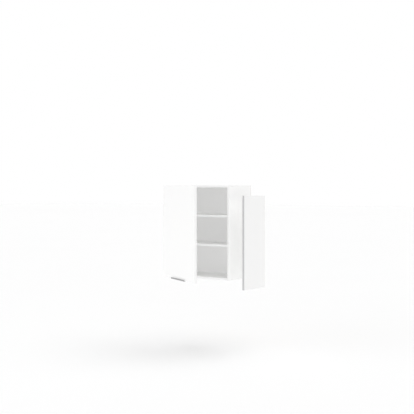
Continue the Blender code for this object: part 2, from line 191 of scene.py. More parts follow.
# Each lamp: its strength, its width in degrees, where its light comes from, and whether it throws shadows
for name, strength, width, toward, shadows in (
    ("overhead_lamp", 1.20, 70, Vector((0.30, 0.10, 1.0)), True),
    ("overhead_fill", 0.12, 70, Vector((0.05, 0.0, 1.0)), False),
    ("front_left_lamp", 0.54, 60, Vector((-0.60, -0.80, 0.15)), True),
    ("front_left_fill", 0.60, 60, Vector((-0.60, -0.80, 0.15)), False),
    ("right_fill", 0.55, 60, Vector((1.0, -0.15, 0.0)), False),
):
    lamp = bpy.data.objects.new(name, bpy.data.lights.new(name, "SUN"))
    lamp.data.energy = strength
    lamp.data.angle = math.radians(width)
    lamp.data.use_shadow = shadows
    lamp.data.cycles.use_multiple_importance_sampling = shadows
    lamp.rotation_euler = toward.to_track_quat("Z", "Y").to_euler()
    bpy.context.scene.collection.objects.link(lamp)


# ---- Carcass boards ----
# Two sides, a top and a bottom of 16 mm chipboard faced with white melamine. A thin white band is glued
# on the front edges and under the sides, where it shows. The rear edges and the upper ends stay raw.

BAND = 0.0008
BAND_ROUND = 0.0005
ARRIS = 0.00012
PROUD = 0.001
DRILL_CLEARANCE = 0.0003
CAP_RECESS_R = 0.0053
CAP_RECESS = 0.0048
NECK_R = 0.0038
NECK_START = 1.1 * CAP_RECESS
NECK_DEPTH = 0.020
PIN_HOLE_DEPTH = 0.0086
SCREW_BORE_R = 0.0028
SCREW_BORE_DEPTH = 0.038


def melamine(name, tone, pearl, sheen):
    """White facing paper: a fine pearl relief, faintly uneven gloss and the slightest cloud in its tone."""
    made, place = new_finish(name, specular_ior_level=0.4)
    cloud = place.noise(9.0, 3.0)
    fine = place.noise(2600.0, 1.0)
    darker = [c * 0.988 for c in tone]
    return feed(
        made,
        colour=(0.7 * cloud + 0.3 * fine).between(darker, tone),
        roughness=sheen + 0.06 * place.noise(160.0, 3.0),
        height=fine + 0.5 * place.noise(900.0, 2.0),
        depth=pearl,
    )


def chipboard(name):
    """Raw board: pale and dark wood chips lying along the board, with resin between them."""
    made, place = new_finish(name, specular_ior_level=0.2)
    cells = {"Vector": place, "Scale": 620.0, "Randomness": 1.0}
    chips = place.node("TexVoronoi", {"feature": "F1"}, cells, 1)
    shade = chips.node("SeparateColor", None, {"Color": chips})
    dark = place.noise(1500.0, 4.0, 0.7)
    wood = shade.between((0.36, 0.24, 0.13), (0.68, 0.52, 0.33))
    mask = dark.node("Math", {"operation": "GREATER_THAN"}, {0: dark, 1: 0.60})
    return feed(
        made,
        colour=(0.6 * mask).between(wood, (0.20, 0.12, 0.06)),
        roughness=0.75 + 0.2 * dark,
        height=shade + 0.8 * dark,
        depth=0.00012,
    )


board_white = melamine("carcass_white_melamine", (0.915, 0.915, 0.910), 0.000018, 0.42)
band_white = melamine("carcass_white_edge_band", (0.868, 0.868, 0.866), 0.000010, 0.36)
raw_board = chipboard("raw_chipboard")


def box_between(low, high, sharp=0.0):
    """A block between two corners, with its arrises eased by a chamfer."""
    bm = bmesh.new()
    bmesh.ops.create_cube(bm, size=1.0)
    bmesh.ops.scale(bm, vec=high - low, verts=bm.verts)
    bmesh.ops.translate(bm, vec=(low + high) / 2, verts=bm.verts)
    if sharp:
        bmesh.ops.bevel(
            bm, geom=bm.edges, offset=sharp, segments=1, profile=0.5, affect="EDGES", material=-1
        )
    return bm


def board_core(low, high, across):
    """A board: its two faces take the first finish and its sawn edges, on the other axes, the second."""
    bm = box_between(low, high, ARRIS)
    bm.normal_update()
    for face in bm.faces:
        if abs(face.normal[across]) < 0.5:
            face.material_index = 1
    return bm


def edge_band(low, high, outward, along):
    """A glued strip: the two long arrises on its outer face are rounded. Outward is (axis, sign)."""
    bm = box_between(low, high)
    axis, sign = outward
    outer = max(v.co[axis] * sign for v in bm.verts)
    long_arrises = []
    for edge in bm.edges:
        a, b = edge.verts
        if min(a.co[axis] * sign, b.co[axis] * sign) > outer - 1e-6 and abs(a.co[along] - b.co[along]) > 1e-6:
            long_arrises.append(edge)
    bmesh.ops.bevel(
        bm, geom=long_arrises, offset=BAND_ROUND, segments=4, profile=0.5, affect="EDGES", material=-1
    )
    return bm


def drill(radius, start, direction, depth, sides=32):
    """A drill bit that starts just proud of a face and reaches that deep along the direction."""
    bm = bmesh.new()
    direction = Vector(direction)
    middle = Vector(start) + direction * (depth - PROUD) / 2
    turn = Vector((0, 0, 1)).rotation_difference(direction).to_matrix().to_4x4()
    bmesh.ops.create_cone(
        bm, cap_ends=True, segments=sides, radius1=radius, radius2=radius, depth=depth + PROUD,
        matrix=Matrix.Translation(middle) @ turn,
    )
    return bm


def joined(shapes):
    """Several bmeshes as one, in the order given."""
    whole = bmesh.new()
    for bm in shapes:
        part = bpy.data.meshes.new("part")
        bm.to_mesh(part)
        bm.free()
        whole.from_mesh(part)
        bpy.data.meshes.remove(part)
    return whole


def cut(bm, tools, inner_finish=1):
    """Cuts one bmesh with others that don't cross each other, and gives the cut walls a finish.

    The two finishes that stand in here only keep the numbers of the finishes that the piece gets later.
    """
    bits = joined(tools)
    for face in bits.faces:
        face.material_index = inner_finish
    pair = []
    for name, shape in (("blank", bm), ("bits", bits)):
        mesh = bpy.data.meshes.new(name)
        shape.to_mesh(mesh)
        shape.free()
        for finish in (board_white, raw_board):
            mesh.materials.append(finish)
        obj = bpy.data.objects.new(name, mesh)
        bpy.context.scene.collection.objects.link(obj)
        pair.append(obj)
    blank, bits = pair
    modifier = blank.modifiers.new("cut", "BOOLEAN")
    modifier.operation = "DIFFERENCE"
    modifier.solver = "EXACT"
    modifier.object = bits
    result = blank.evaluated_get(bpy.context.evaluated_depsgraph_get()).to_mesh()
    done = bmesh.new()
    done.from_mesh(result)
    for obj in pair:
        mesh = obj.data
        bpy.data.objects.remove(obj)
        bpy.data.meshes.remove(mesh)
    return done


def make_piece(name, bm, body, finishes, stands_for=(), smooth=None):
    """Turns a finished bmesh into a piece of the cabinet, at the origin, riding on its body."""
    bmesh.ops.remove_doubles(bm, verts=bm.verts, dist=1e-6)
    bmesh.ops.recalc_face_normals(bm, faces=bm.faces)
    mesh = bpy.data.meshes.new(name)
    bm.to_mesh(mesh)
    bm.free()
    for finish in finishes:
        mesh.materials.append(finish)
    if smooth:
        mesh.shade_smooth()
        mesh.set_sharp_from_angle(angle=math.radians(smooth))
    made = bpy.data.objects.new(name, mesh)
    bpy.context.scene.collection.objects.link(made)
    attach(made, body)
    if stands_for:
        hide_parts(*stands_for)
    return made


def side_drillings(word, side):
    """A side's screw holes with their cap recesses, from outside, and its shelf pin holes, from inside."""
    inner_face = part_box(f"{word}_side_panel")[0 if side > 0 else 1].x
    outer_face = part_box(f"{word}_side_panel")[1 if side > 0 else 0].x
    for level in ("top", "bottom"):
        for row in ("front", "rear"):
            low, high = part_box(f"carcass_screw_{word}_{level}_{row}")
            middle = (low + high) / 2
            start = (outer_face, middle.y, middle.z)
            yield drill(CAP_RECESS_R, start, (-side, 0, 0), CAP_RECESS)
            deeper = (outer_face - side * NECK_START, middle.y, middle.z)
            yield drill(NECK_R, deeper, (-side, 0, 0), NECK_DEPTH)
    for shelf in ("upper", "lower"):
        for row in ("front", "rear"):
            low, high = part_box(f"shelf_pin_{shelf}_{word}_{row}")
            middle = (low + high) / 2
            radius = (high.z - low.z) / 2 + DRILL_CLEARANCE
            yield drill(radius, (inner_face, middle.y, middle.z), (side, 0, 0), PIN_HOLE_DEPTH)


for word, side in (("left", -1), ("right", 1)):
    low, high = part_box(f"{word}_side_panel")
    core = board_core(low + Vector((0, BAND, BAND)), high, 0)
    core = cut(core, side_drillings(word, side))
    make_piece(
        f"{word}_side_board", core, "cabinet", (board_white, raw_board),
        (f"{word}_side_panel",),
    )
    strip = edge_band(low, Vector((high.x, low.y + BAND, high.z)), (1, -1), 2)
    make_piece(f"{word}_side_front_band", strip, "cabinet", (band_white,), smooth=50)
    strip = edge_band(low + Vector((0, BAND, 0)), Vector((high.x, high.y, low.z + BAND)), (2, -1), 1)
    make_piece(f"{word}_side_lower_band", strip, "cabinet", (band_white,), smooth=50)

for word in ("top", "bottom"):
    low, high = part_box(f"{word}_panel")
    core = board_core(low + Vector((0, BAND, 0)), high, 2)
    bits = []
    for end, side in (("left", -1), ("right", 1)):
        for row in ("front", "rear"):
            screw_low, screw_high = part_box(f"carcass_screw_{end}_{word}_{row}")
            middle = (screw_low + screw_high) / 2
            face = high.x if side > 0 else low.x
            bits.append(drill(SCREW_BORE_R, (face, middle.y, middle.z), (-side, 0, 0), SCREW_BORE_DEPTH))
    make_piece(
        f"{word}_board", cut(core, bits), "cabinet", (board_white, raw_board),
        (f"{word}_panel",),
    )
    strip = edge_band(low, Vector((high.x, low.y + BAND, high.z)), (1, -1), 0)
    make_piece(f"{word}_front_band", strip, "cabinet", (band_white,), smooth=50)


# ---- Back panel ----
# Thin hardboard nailed to the rear edges, so it shows as the inside's far wall. Its face towards the
# room is lacquered white; its rear is bare brown fibre with the press's wire weave. Two windows let the
# wall plates through.

NAIL_STAND = 0.0004
NAIL_HEAD_R = 0.0019
NAIL_UNDER_HEAD = 0.0001
NAIL_SHANK_R = 0.0007
NAIL_SHANK = 0.0024
NAIL_SPACING = 0.085
NAIL_FROM_EDGE = 0.007
WIRE_WEAVE = 2 * math.pi / 0.0014
WINDOW_BESIDE = 0.005
WINDOW_BELOW = 0.010
WINDOW_ABOVE = 0.0075


def lacquered_hardboard(name):
    """Hardboard's smooth face under white lacquer, which softens its fibres to a faint ripple."""
    made, place = new_finish(name, specular_ior_level=0.35)
    cloud = place.noise(14.0, 3.0)
    return feed(
        made,
        colour=cloud.between((0.870, 0.870, 0.865), (0.885, 0.885, 0.881)),
        roughness=0.50 + 0.08 * place.noise(220.0, 2.0),
        height=place.noise(1100.0, 2.0),
        depth=0.00002,
    )


def bare_fibre(name):
    """Pressed brown fibre with the dimples of the wire mesh that it was pressed on."""
    made, place = new_finish(name, specular_ior_level=0.2)
    across = place.node("SeparateXYZ", None, {"Vector": place})
    up = across.also("Z")
    weave = across.maths("SINE", across * WIRE_WEAVE) * up.maths("SINE", up * WIRE_WEAVE)
    fibre = place.noise(700.0, 5.0, 0.65)
    return feed(
        made,
        colour=(0.75 * fibre + 0.12 * weave).between((0.13, 0.075, 0.038), (0.42, 0.28, 0.16)),
        roughness=0.78 + 0.1 * fibre,
        height=weave + 0.6 * fibre,
        depth=0.00010,
    )


back_white = lacquered_hardboard("back_panel_white_lacquer")
back_brown = bare_fibre("back_panel_bare_fibre")

low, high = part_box("back_panel")
high.y -= NAIL_STAND
sheet = box_between(low, high, ARRIS)
windows = []
for word in ("left", "right"):
    hook_low, hook_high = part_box(f"hanger_hook_{word}")
    opening_low = Vector((hook_low.x - WINDOW_BESIDE, low.y - PROUD, hook_low.z - WINDOW_BELOW))
    opening_high = Vector((hook_high.x + WINDOW_BESIDE, PROUD, hook_high.z + WINDOW_ABOVE))
    windows.append(box_between(opening_low, opening_high))
sheet = cut(sheet, windows)
sheet.normal_update()
for face in sheet.faces:
    face.material_index = 0 if face.normal.y < -0.5 else 1
make_piece("back_sheet", sheet, "cabinet", (back_white, back_brown), ("back_panel",))


def turned(profile, at, direction, steps=32):
    """A round shape from its profile of (radius, distance) points, set on a point along a direction."""
    bm = bmesh.new()
    points = [bm.verts.new((radius, 0.0, distance)) for radius, distance in profile]
    edges = [bm.edges.new(pair) for pair in zip(points, points[1:])]
    bmesh.ops.spin(
        bm, geom=points + edges, axis=(0, 0, 1), cent=(0, 0, 0), angle=2 * math.pi, steps=steps,
        use_merge=True,
    )
    bmesh.ops.remove_doubles(bm, verts=bm.verts, dist=1e-6)
    turn = Vector((0, 0, 1)).rotation_difference(Vector(direction)).to_matrix().to_4x4()
    bmesh.ops.transform(bm, matrix=Matrix.Translation(Vector(at)) @ turn, verts=bm.verts)
    return bm


def plated(name, colour, gloss, speckle):
    """Bright plated steel: even, with fine handling marks in its gloss."""
    made, place = new_finish(name)
    cloud = place.noise(60.0, 3.0)
    fine = place.noise(3000.0, 2.0)
    darker = [c * 0.90 for c in colour]
    return feed(
        made,
        colour=cloud.between(darker, colour),
        roughness=gloss + 0.12 * place.noise(500.0, 3.0),
        metallic=1.0 - 0.05 * cloud,
        height=fine,
        depth=speckle,
    )


def nailed_along(start, end):
    """Even places from one edge of the sheet to the other, about a nail spacing apart."""
    run = end - start - 2 * NAIL_FROM_EDGE
    gaps = round(run / NAIL_SPACING)
    return [start + NAIL_FROM_EDGE + run * step / gaps for step in range(gaps + 1)]


zinc = plated("zinc_plated_steel", (0.70, 0.71, 0.73), 0.24, 0.000006)

columns = nailed_along(low.x, high.x)
rows = nailed_along(low.z, high.z)
nail_places = {(x, z) for x in columns for z in (rows[0], rows[-1])}
nail_places |= {(x, z) for x in (columns[0], columns[-1]) for z in rows}
nail_profile = [
    (0.0, -NAIL_SHANK), (NAIL_SHANK_R, -NAIL_SHANK), (NAIL_SHANK_R, -NAIL_UNDER_HEAD),
    (NAIL_HEAD_R, -NAIL_UNDER_HEAD), (NAIL_HEAD_R, NAIL_STAND * 0.5),
    (NAIL_HEAD_R * 0.8, NAIL_STAND * 0.9), (0.0, NAIL_STAND),
]
nails = [turned(nail_profile, (x, high.y, z), (0, 1, 0), 12) for x, z in sorted(nail_places)]
make_piece("back_nails", joined(nails), "cabinet", (zinc,), smooth=40)


# ---- Screw caps ----
# The screws that hold the carcass are sunk a little under the sides' faces, and a white plastic cap
# presses into each recess, flush with the board. The screws under them stay as they are.

CAP_R = 0.00515
CAP_THICKNESS = 0.0012
CAP_LEAD_IN = 0.0002
CAP_EDGE = 0.0003
CAP_CROWN = 0.0001


def moulded(name, tone, spark, gloss):
    """Moulded plastic with a fine spark-eroded grain."""
    made, place = new_finish(name, specular_ior_level=0.45)
    grain = place.noise(1900.0, 2.0, 0.6)
    darker = [c * 0.975 for c in tone]
    return feed(
        made,
        colour=place.noise(30.0).between(darker, tone),
        roughness=gloss + 0.10 * grain,
        height=grain,
        depth=spark,
    )


cap_plastic = moulded("white_cap_plastic", (0.90, 0.90, 0.895), 0.00001, 0.36)
cap_profile = [
    (0.0, -CAP_THICKNESS), (CAP_R - CAP_LEAD_IN, -CAP_THICKNESS), (CAP_R, -CAP_THICKNESS + CAP_EDGE),
    (CAP_R, -CAP_EDGE), (CAP_R - CAP_EDGE, -CAP_CROWN), (0.0, 0.0),
]
for word, side in (("left", -1), ("right", 1)):
    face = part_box(f"{word}_side_panel")[1 if side > 0 else 0].x
    for level in ("top", "bottom"):
        for row in ("front", "rear"):
            node = f"carcass_screw_{word}_{level}_{row}"
            frame["nodes"][node].data.materials.clear()
            frame["nodes"][node].data.materials.append(zinc)
            middle = sum(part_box(node), Vector()) / 2
            cap = turned(cap_profile, (face, middle.y, middle.z), (side, 0, 0))
            make_piece(
                f"screw_cap_{word}_{level}_{row}", cap, "cabinet", (cap_plastic,),
                smooth=40,
            )


# ---- Shelves and their pins ----
# Two loose shelves of the same board, banded along the front only. Each rests on four nickel pins with
# a thin collar against the side and a rounded tip.

PIN_COLLAR = 0.0008
PIN_COLLAR_R = 0.0033
PIN_LEAD_IN = 0.0004
PIN_TIP_IN_RADII = 0.6
PIN_TIP_STEPS = 6

nickel = plated("nickel_plated_steel", (0.66, 0.645, 0.61), 0.22, 0.000004)


def pin_profile(radius, depth, reach):
    """A shelf pin's outline from the end in the board, past its collar, to a blunt domed tip."""
    profile = [(0.0, -depth), (radius - PIN_LEAD_IN, -depth), (radius, -depth + PIN_LEAD_IN), (radius, 0.0)]
    profile += [(PIN_COLLAR_R, 0.0), (PIN_COLLAR_R, PIN_COLLAR), (radius, PIN_COLLAR)]
    for step in range(PIN_TIP_STEPS):
        angle = math.radians(90 * step / PIN_TIP_STEPS)
        narrowing = (1 - 0.4 * math.sin(angle) ** 3) * math.cos(angle) ** 0.35
        profile.append((radius * narrowing, reach - radius * PIN_TIP_IN_RADII * (1 - math.sin(angle))))
    return profile + [(0.0, reach)]


for word in ("upper", "lower"):
    low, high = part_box(f"{word}_shelf")
    core = board_core(low + Vector((0, BAND, 0)), high, 2)
    make_piece(
        f"{word}_shelf_board", core, "cabinet", (board_white, raw_board),
        (f"{word}_shelf",),
    )
    strip = edge_band(low, Vector((high.x, low.y + BAND, high.z)), (1, -1), 0)
    make_piece(f"{word}_shelf_front_band", strip, "cabinet", (band_white,), smooth=50)
    for end, side in (("left", -1), ("right", 1)):
        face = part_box(f"{end}_side_panel")[0 if side > 0 else 1].x
        for row in ("front", "rear"):
            node = f"shelf_pin_{word}_{end}_{row}"
            pin_low, pin_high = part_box(node)
            middle = (pin_low + pin_high) / 2
            radius = (pin_high.z - pin_low.z) / 2
            reach = face - pin_low.x if side > 0 else pin_high.x - face
            depth = pin_high.x - pin_low.x - reach
            profile = pin_profile(radius, depth, reach)
            pin = turned(profile, (face, middle.y, middle.z), (-side, 0, 0), 24)
            make_piece(
                f"pin_{word}_{end}_{row}", pin, "cabinet", (nickel,), (node,), smooth=40
            )


# ---- Wall hangers ----
# In each upper rear corner a white moulded housing holds a bent steel hook, which reaches back through
# the window to its wall plate. One screw raises the hook and the other draws it in.

HOUSING_CORNER = 0.0022
HOUSING_LIP = 0.0022
HOUSING_RECESS = 0.0005
WELL_R = 0.0035
WELL_DEPTH = 0.0045
MOUTH_CLEARANCE = 0.0003
MOUTH_DEEPER = 0.0005
HOOK_STEEL = 0.0025
HOOK_BEND = 0.0032
HOOK_LIP = 0.012
HOOK_TIP = 0.0006
HOOK_ARRIS = 0.00025
ADJUSTER_EDGE = 0.0004
ADJUSTER_CROSS = (0.0021, 0.0008, 0.0014)

hanger_plastic = moulded("hanger_white_plastic", (0.85, 0.85, 0.83), 0.00003, 0.42)
pressed_zinc = plated("hook_zinc_plated_steel", (0.62, 0.63, 0.65), 0.34, 0.00002)


def eased(bm, edges, offset, segments=3):
    """Rounds some of a bmesh's edges."""
    bmesh.ops.bevel(
        bm, geom=edges, offset=offset, segments=segments, profile=0.5, affect="EDGES", material=-1
    )
    return bm


def edges_along(bm, axis):
    """The straight edges that run along one axis."""
    found = []
    for edge in bm.edges:
        run = edge.verts[1].co - edge.verts[0].co
        if abs(run[axis]) > 0.999 * run.length:
            found.append(edge)
    return found


def cross_head(profile, cross, at, direction):
    """A screw turned to its profile. Its cross recess is given by its reach, width and depth."""
    bm = turned(profile, (0, 0, 0), (0, 0, 1), 32)
    top = profile[-1][1]
    reach, width, depth = cross
    for half_x, half_y in ((reach, width / 2), (width / 2, reach)):
        slot_low = Vector((-half_x, -half_y, top - depth))
        bm = cut(bm, [box_between(slot_low, Vector((half_x, half_y, top + 2 * PROUD)))], 0)
    turn = Vector((0, 0, 1)).rotation_difference(Vector(direction)).to_matrix().to_4x4()
    bmesh.ops.transform(bm, matrix=Matrix.Translation(Vector(at)) @ turn, verts=bm.verts)
    return bm


def strip_outline(points, low, high, axis):
    """A closed outline pushed along one axis. Its points give the other two coordinates in X, Y, Z order."""
    bm = bmesh.new()
    corners = []
    for point in points:
        corner = list(point)
        corner.insert(axis, low)
        corners.append(bm.verts.new(corner))
    grown = bmesh.ops.extrude_face_region(bm, geom=[bm.faces.new(corners)])["geom"]
    push = Vector((0, 0, 0))
    push[axis] = high - low
    bmesh.ops.translate(bm, vec=push, verts=[v for v in grown if isinstance(v, bmesh.types.BMVert)])
    return bm


def arc(centre, radius, start, end, steps=8):
    """Points on an arc, with its angles in degrees."""
    angles = [math.radians(start + (end - start) * step / steps) for step in range(steps + 1)]
    return [(centre[0] + radius * math.cos(a), centre[1] + radius * math.sin(a)) for a in angles]


def hanger_body(word):
    """The moulded housing: a sunk front, a well over each adjuster and a mouth where the hook leaves."""
    low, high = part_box(f"hanger_housing_{word}")
    hook_low, hook_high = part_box(f"hanger_hook_{word}")
    body = box_between(low, high)
    eased(body, edges_along(body, 1), HOUSING_CORNER, 5)
    panel = box_between(
        Vector((low.x + HOUSING_LIP, low.y - PROUD, low.z + HOUSING_LIP)),
        Vector((high.x - HOUSING_LIP, low.y + HOUSING_RECESS, high.z - HOUSING_LIP)),
    )
    body = cut(body, [eased(panel, edges_along(panel, 1), HOUSING_CORNER / 2, 4)], 0)
    tools = []
    for name in ("height", "depth"):
        middle = sum(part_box(f"hanger_{name}_screw_{word}"), Vector()) / 2
        tools.append(drill(WELL_R, (middle.x, low.y, middle.z), (0, 1, 0), WELL_DEPTH))
    lip_top = hook_low.z + HOOK_LIP
    mouth_low = Vector((hook_low.x - MOUTH_CLEARANCE, hook_low.y - MOUTH_DEEPER, lip_top - MOUTH_CLEARANCE))
    mouth_high = Vector((hook_high.x + MOUTH_CLEARANCE, high.y + PROUD, hook_high.z + MOUTH_CLEARANCE))
    tools.append(box_between(mouth_low, mouth_high))
    make_piece(
        f"{word}_hanger_body", cut(body, tools, 0), "cabinet", (hanger_plastic,),
        (f"hanger_housing_{word}",), smooth=30,
    )


def hanger_hook(word):
    """The hook: a strip that leaves the housing, bends down at a radius and ends in a chamfered lip."""
    node = f"hanger_hook_{word}"
    low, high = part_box(node)
    bend = (high.y - HOOK_BEND, high.z - HOOK_BEND)
    section = [(low.y, high.z - HOOK_STEEL)]
    section += arc(bend, HOOK_BEND - HOOK_STEEL, 90, 0, 4)
    section += [(high.y - HOOK_STEEL, low.z + HOOK_TIP), (high.y - HOOK_STEEL + HOOK_TIP, low.z)]
    section += [(high.y - HOOK_TIP, low.z), (high.y, low.z + HOOK_TIP)]
    section += arc(bend, HOOK_BEND, 0, 90, 8)
    section += [(low.y, high.z)]
    hook = strip_outline(section, low.x, high.x, 0)
    ends = [e for e in hook.edges if abs(e.verts[0].co.x - e.verts[1].co.x) < 1e-6]
    eased(hook, ends, HOOK_ARRIS, 2)
    make_piece(
        f"{word}_hanger_steel_hook", hook, "cabinet", (pressed_zinc,), (node,), smooth=40
    )


def hanger_adjuster(word, name):
    """One of the two screws that reach the hook through the housing's front."""
    node = f"hanger_{name}_screw_{word}"
    low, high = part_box(node)
    middle = (low + high) / 2
    radius, length = (high.x - low.x) / 2, high.y - low.y
    profile = [(0.0, -length), (radius, -length), (radius, -ADJUSTER_EDGE), (radius - ADJUSTER_EDGE, 0.0)]
    profile += [(0.0, 0.0)]
    screw = cross_head(profile, ADJUSTER_CROSS, (middle.x, low.y, middle.z), (0, -1, 0))
    make_piece(f"{word}_hanger_{name}_adjuster", screw, "cabinet", (zinc,), (node,), smooth=35)


for word in ("left", "right"):
    hanger_body(word)
    hanger_hook(word)
    for name in ("height", "depth"):
        hanger_adjuster(word, name)


# ---- Door ----
# One full-width door of the same board with a smoother white face. Thin bands close all four edges,
# the upright ones over the ends of the others. It is made shut, then swung open to where it rests.

CUP_R = 0.0172
CUP_BORE_DEPTH = 0.0125
CUP_SCREW_BORE_R = 0.0021
CUP_SCREW_BORE_DEPTH = 0.0105
PULL_SCREW_BORE_R = 0.0018
PULL_SCREW_BORE_DEPTH = 0.012

hinge_joint = next(joint for joint in frame["joints"] if joint["name"] == "door_hinge")
pivot = Vector(hinge_joint["pos_m"])
opening = math.radians(-hinge_joint["range_deg"][0])
around = Matrix.Rotation(opening, 4, Vector(hinge_joint["axis"]))
door_swing = Matrix.Translation(pivot) @ around @ Matrix.Translation(-pivot)

door_white = melamine("door_white_melamine", (0.915, 0.915, 0.912), 0.000008, 0.36)
door_band = melamine("door_white_edge_band", (0.860, 0.860, 0.858), 0.000008, 0.34)


def shut_box(node):
    """The lowest and highest corner that a node of the door has when the door is shut."""
    back = door_swing.inverted()
    corners = [back @ vert.co for vert in frame["nodes"][node].data.vertices]
    return tuple(Vector([pick(c[axis] for c in corners) for axis in range(3)]) for pick in (min, max))


def door_piece(name, bm, finishes, stands_for=(), smooth=None):
    """Swings a bmesh that was made on the shut door to where the door rests, and makes it a piece."""
    bmesh.ops.transform(bm, matrix=door_swing, verts=bm.verts)
    return make_piece(name, bm, "door", finishes, stands_for, smooth)


door_low, door_high = shut_box("door_panel")
trim = Vector((BAND, 0.0, BAND))
core = board_core(door_low + trim, door_high - trim, 1)


def door_bore(middle, radius, depth, sides=16):
    """A drill bit that enters the door from behind."""
    return drill(radius, (middle.x, door_high.y, middle.z), (0, -1, 0), depth, sides)


bits = []
for word in ("upper", "lower"):
    cup_low, cup_high = shut_box(f"hinge_cup_{word}")
    middle = Vector((cup_low.x + CUP_R, door_high.y, (cup_low.z + cup_high.z) / 2))
    bits.append(door_bore(middle, CUP_R + DRILL_CLEARANCE, CUP_BORE_DEPTH, 64))
    for spot in ("above", "below"):
        middle = sum(shut_box(f"cup_screw_{word}_{spot}"), Vector()) / 2
        bits.append(door_bore(middle, CUP_SCREW_BORE_R, CUP_SCREW_BORE_DEPTH))
for word in ("left", "right"):
    middle = sum(shut_box(f"handle_screw_{word}"), Vector()) / 2
    bits.append(door_bore(middle, PULL_SCREW_BORE_R, PULL_SCREW_BORE_DEPTH))
door_piece("door_board", cut(core, bits), (door_white, raw_board), ("door_panel",))

for word, side in (("hinge_side", -1), ("free_side", 1)):
    face = door_high.x if side > 0 else door_low.x
    inner = face - side * BAND
    strip = edge_band(
        Vector((min(face, inner), door_low.y, door_low.z)),
        Vector((max(face, inner), door_high.y, door_high.z)),
        (0, side), 2,
    )
    door_piece(f"door_{word}_band", strip, (door_band,), smooth=50)
for word, side in (("top", 1), ("bottom", -1)):
    face = door_high.z if side > 0 else door_low.z
    inner = face - side * BAND
    strip = edge_band(
        Vector((door_low.x + BAND, door_low.y, min(face, inner))),
        Vector((door_high.x - BAND, door_high.y, max(face, inner))),
        (2, side), 0,
    )
    door_piece(f"door_{word}_band", strip, (door_band,), smooth=50)


# ---- Door bumpers ----
# Two clear soft domes, stuck inside the door's free corners, so that it shuts quietly.

DOME_WALL_SHARE = 0.35
DOME_STEPS = 8

clear_soft, place = new_finish(
    "clear_polyurethane", transmission_weight=0.75, ior=1.48, specular_ior_level=0.5
)
feed(
    clear_soft,
    colour=place.noise(300.0).between((0.86, 0.87, 0.86), (0.93, 0.93, 0.92)),
    roughness=0.14 + 0.10 * place.noise(800.0),
)
for word in ("upper", "lower"):
    node = f"door_bumper_{word}"
    low, high = shut_box(node)
    middle = (low + high) / 2
    radius, height = (high.x - low.x) / 2, high.y - low.y
    profile = [(0.0, 0.0), (radius, 0.0), (radius, height * DOME_WALL_SHARE)]
    for step in range(1, DOME_STEPS):
        angle = math.radians(90 * step / DOME_STEPS)
        rise = DOME_WALL_SHARE + (1 - DOME_WALL_SHARE) * math.sin(angle)
        profile.append((radius * math.cos(angle), height * rise))
    profile.append((0.0, height))
    dome = turned(profile, (middle.x, low.y, middle.z), (0, 1, 0), 40)
    door_piece(f"{word}_bumper_dome", dome, (clear_soft,), (node,), smooth=50)


# ---- Concealed hinges ----
# A pressed, nickel-plated steel cup is let into the door and held by two screws through its ears. A bent
# link on the cup's pin joins it to the arm, which two adjusting screws hold on the left side's plate.

CUP_WALL = 0.0010
CUP_RIM_R = 0.0189
CUP_RIM = 0.0012
CUP_ROUND_IN = 0.002
CUP_ROUND_OUT = 0.0025
MOUTH_ROUND = 0.0006
RIM_ROUND = 0.0005
EAR_START = 0.003
EAR_SUNK = 0.0001
EAR_CORNER = 0.0055
EAR_OVERLAP = 0.0008
EAR_PUNCH = 0.004
PIVOT_HALF = 0.0082

hinge_nickel = plated("hinge_nickel_plated_steel", (0.66, 0.645, 0.61), 0.24, 0.000008)


def hinge_cup(word):
    """The drawn cup with its rolled rim, the pressed plate of its ears, and the pin across its mouth."""
    node = f"hinge_cup_{word}"
    low, high = shut_box(node)
    centre_x, level = low.x + CUP_R, (low.z + high.z) / 2
    rim_top = high.y - door_high.y
    bottom = low.y - door_high.y
    inner = CUP_R - CUP_WALL
    profile = [(0.0, bottom + CUP_WALL)]
    profile += arc((inner - CUP_ROUND_IN, bottom + CUP_WALL + CUP_ROUND_IN), CUP_ROUND_IN, -90, 0, 5)
    profile += arc((inner + MOUTH_ROUND, rim_top - MOUTH_ROUND), MOUTH_ROUND, 180, 90, 4)
    profile += arc((CUP_RIM_R - RIM_ROUND, rim_top - RIM_ROUND), RIM_ROUND, 90, 0, 4)
    profile += [(CUP_RIM_R, rim_top - CUP_RIM), (CUP_R, rim_top - CUP_RIM)]
    profile += arc((CUP_R - CUP_ROUND_OUT, bottom + CUP_ROUND_OUT), CUP_ROUND_OUT, 0, -90, 5)
    profile += [(0.0, bottom)]
    drum = turned(profile, (centre_x, door_high.y, level), (0, 1, 0), 64)
    ears_low = Vector((centre_x + EAR_START, high.y - CUP_RIM, low.z))
    ears = box_between(ears_low, Vector((high.x, high.y - EAR_SUNK, high.z)))
    eased(ears, edges_along(ears, 1), EAR_CORNER, 8)
    punch = drill(CUP_RIM_R - EAR_OVERLAP, (centre_x, high.y, level), (0, -1, 0), EAR_PUNCH, 64)
    cup = joined([drum, cut(ears, [punch], 0)])
    door_piece(f"{word}_hinge_cup", cup, (hinge_nickel,), (node,), smooth=35)

    node = f"hinge_pin_{word}"
    low, high = shut_box(node)
    radius = (high.x - low.x) / 2
    profile = [(0.0, -PIVOT_HALF), (radius, -PIVOT_HALF), (radius, PIVOT_HALF), (0.0, PIVOT_HALF)]
    pin = turned(profile, (pivot.x, pivot.y, (low.z + high.z) / 2), (0, 0, 1), 20)
    door_piece(f"{word}_hinge_pivot", pin, (zinc,), (node,), smooth=40)


PAN_SCREW = [
    (0.0, -0.009), (0.0012, -0.0085), (0.0017, -0.007), (0.0017, 0.0), (0.0036, 0.0), (0.0036, 0.0006),
    (0.0034, 0.0010), (0.0028, 0.0015), (0.0018, 0.0019), (0.0, 0.0020),
]
PAN_CROSS = (0.0020, 0.0008, 0.0012)
PAN_HEAD = 0.0019


